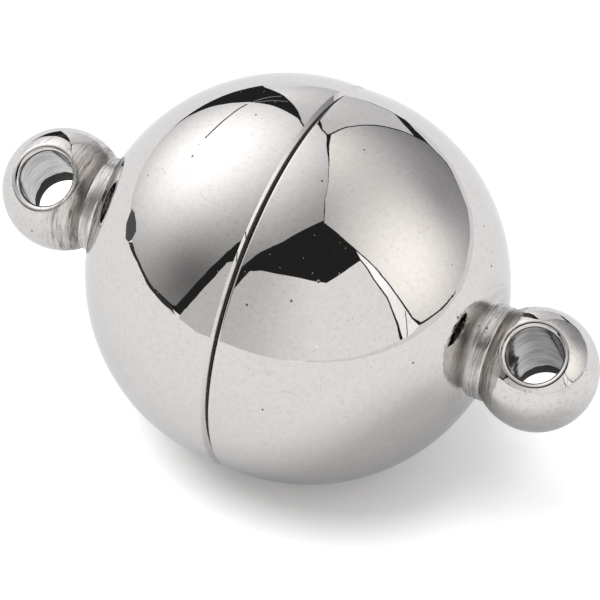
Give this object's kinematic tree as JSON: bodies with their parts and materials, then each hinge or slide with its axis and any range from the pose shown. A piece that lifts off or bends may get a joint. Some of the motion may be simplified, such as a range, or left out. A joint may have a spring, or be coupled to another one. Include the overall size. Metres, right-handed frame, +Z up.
{
  "type": "magnetic ball clasp",
  "caption": "Round magnetic clasp: two polished steel half balls meet face to face on disc magnets, with a small drilled ball loop on each end for a jump ring.",
  "frame": {"origin": "centre of the closed ball, on the seam between its halves", "axes": "+X along the clasp from the left half to the right half, +Z up from the surface that the ball lies on"},
  "size_m": [0.0162, 0.01, 0.01],
  "materials": {
    "polished_steel": "mirror-polished stainless steel with a few fine pits and hairline scratches",
    "turned_steel": "polished stainless steel that still shows fine turning marks round its neck and in its hole",
    "magnet_plating": "satin nickel plating on a neodymium disc magnet"
  },
  "bodies": {
    "left_half": {"left_shell": "polished_steel", "left_magnet": "magnet_plating", "left_loop": "turned_steel"},
    "right_core": {"right_magnet": "magnet_plating"},
    "right_half": {"right_shell": "polished_steel", "right_loop": "turned_steel"}
  },
  "joints": [
    {"name": "pull_apart", "type": "slide", "parent": "left_half", "child": "right_core", "axis": [1, 0, 0], "range_m": [0, 0.01]},
    {"name": "half_turn", "type": "hinge", "parent": "right_core", "child": "right_half", "pos_m": [0, 0, 0], "axis": [1, 0, 0], "continuous": true}
  ]
}
